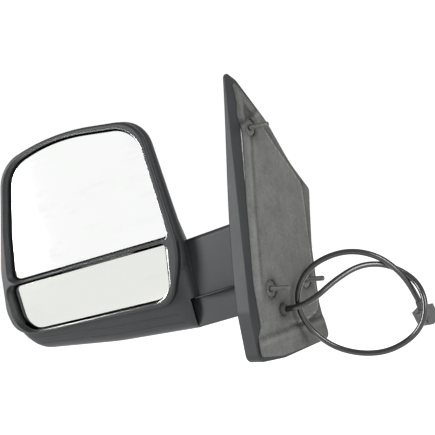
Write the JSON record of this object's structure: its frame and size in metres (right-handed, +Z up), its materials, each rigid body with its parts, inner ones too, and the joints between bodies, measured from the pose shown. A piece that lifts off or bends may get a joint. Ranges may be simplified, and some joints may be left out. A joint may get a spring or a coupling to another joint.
{
  "type": "door mirror",
  "caption": "Van door mirror: a folding head with a large powered glass over a small wide-angle glass, a triangular studded base and a plugged lead.",
  "frame": {"origin": "on the outer face of the door, midway between the two lower studs", "axes": "+X inboard into the door, +Y to the front of the vehicle, +Z up; the glasses face -Y"},
  "size_m": [0.4341, 0.2164, 0.3464],
  "materials": {
    "cover_plastic": "fine-textured charcoal plastic",
    "bezel_plastic": "fine-textured black plastic",
    "foam": "mottled grey foam rubber",
    "cast": "cast, matt",
    "zinc_steel": "dark zinc plating",
    "steel": "turned steel",
    "spring_steel": "spring steel",
    "rubber": "black rubber",
    "lead_sleeve": "glossy black sleeve",
    "glass_mirror": "silvered",
    "heater_pad": "printed heater film",
    "carrier_plastic": "moulded black plastic",
    "gear_plastic": "natural acetal",
    "motor_can": "drawn steel can",
    "connector": "dark grey moulded plastic",
    "brass": "tinned brass"
  },
  "bodies": {
    "base": {"base_cover": "cover_plastic", "base_frame": "cast", "door_gasket": "foam", "mount_studs": "zinc_steel", "stud_collars": "zinc_steel", "frame_screws": "zinc_steel", "cable_grommet": "rubber", "pivot_post": "steel", "detent_ring_lower": "steel", "disc_springs": "spring_steel", "pivot_nut": "zinc_steel", "base_lead": "lead_sleeve", "harness_lead": "lead_sleeve", "plug_boot": "rubber", "plug_body": "connector", "plug_terminals": "brass", "plug_latch": "connector"},
    "head": {"housing_shell": "cover_plastic", "bezel_frame": "bezel_plastic", "head_frame": "cast", "housing_screws": "zinc_steel", "pivot_bush": "brass", "detent_ring_upper": "steel", "actuator_case": "carrier_plastic", "actuator_lid": "carrier_plastic", "tilt_motor": "motor_can", "pan_motor": "motor_can", "tilt_worm": "gear_plastic", "pan_worm": "gear_plastic", "lower_mount": "carrier_plastic", "head_lead": "lead_sleeve"},
    "upper_gimbal": {"upper_cross": "steel"},
    "upper_mirror": {"upper_carrier": "carrier_plastic", "upper_glass": "glass_mirror", "upper_glass_pad": "heater_pad"},
    "lower_gimbal": {"lower_cross": "steel"},
    "lower_mirror": {"lower_carrier": "carrier_plastic", "lower_glass": "glass_mirror", "lower_glass_pad": "heater_pad"},
    "tilt_gear_body": {"tilt_gear": "gear_plastic"},
    "pan_gear_body": {"pan_gear": "gear_plastic"},
    "tilt_screw_body": {"tilt_screw": "steel"},
    "pan_screw_body": {"pan_screw": "steel"}
  },
  "joints": [
    {"name": "head_fold", "type": "hinge", "parent": "base", "child": "head", "pos_m": [-0.053, -0.029, 0.05], "axis": [0, 0, 1], "range_deg": [-55, 60]},
    {"name": "upper_tilt", "type": "hinge", "parent": "head", "child": "upper_gimbal", "pos_m": [-0.18683, -0.08163, 0.163], "axis": [0.9703, 0.2419, 0], "range_deg": [-5.5, 5.5]},
    {"name": "upper_pan", "type": "hinge", "parent": "upper_gimbal", "child": "upper_mirror", "pos_m": [-0.18683, -0.08163, 0.163], "axis": [0, 0, 1], "range_deg": [-5.5, 5.5]},
    {"name": "lower_tilt", "type": "hinge", "parent": "head", "child": "lower_gimbal", "pos_m": [-0.19241, -0.07993, 0.063], "axis": [0.9703, 0.2419, 0], "range_deg": [-4, 4]},
    {"name": "lower_pan", "type": "hinge", "parent": "lower_gimbal", "child": "lower_mirror", "pos_m": [-0.19241, -0.07993, 0.063], "axis": [0, 0, 1], "range_deg": [-4, 4]},
    {"name": "tilt_screw_travel", "type": "slide", "parent": "head", "child": "tilt_screw_body", "axis": [0.2419, -0.9703, 0], "range_m": [-0.0026, 0.0026]},
    {"name": "pan_screw_travel", "type": "slide", "parent": "head", "child": "pan_screw_body", "axis": [0.2419, -0.9703, 0], "range_m": [-0.0026, 0.0026]},
    {"name": "tilt_gear_turn", "type": "hinge", "parent": "head", "child": "tilt_gear_body", "pos_m": [-0.19216, -0.06028, 0.187], "axis": [0.2419, -0.9703, 0], "range_deg": [-180, 180]},
    {"name": "pan_gear_turn", "type": "hinge", "parent": "head", "child": "pan_gear_body", "pos_m": [-0.16887, -0.05448, 0.163], "axis": [0.2419, -0.9703, 0], "range_deg": [-180, 180]}
  ],
  "couplings": [
    {"joint": "tilt_screw_travel", "follows": "upper_tilt", "m_per_rad": 0.024},
    {"joint": "pan_screw_travel", "follows": "upper_pan", "m_per_rad": -0.024},
    {"joint": "tilt_gear_turn", "follows": "upper_tilt", "ratio": 25.133},
    {"joint": "pan_gear_turn", "follows": "upper_pan", "ratio": -25.133}
  ]
}
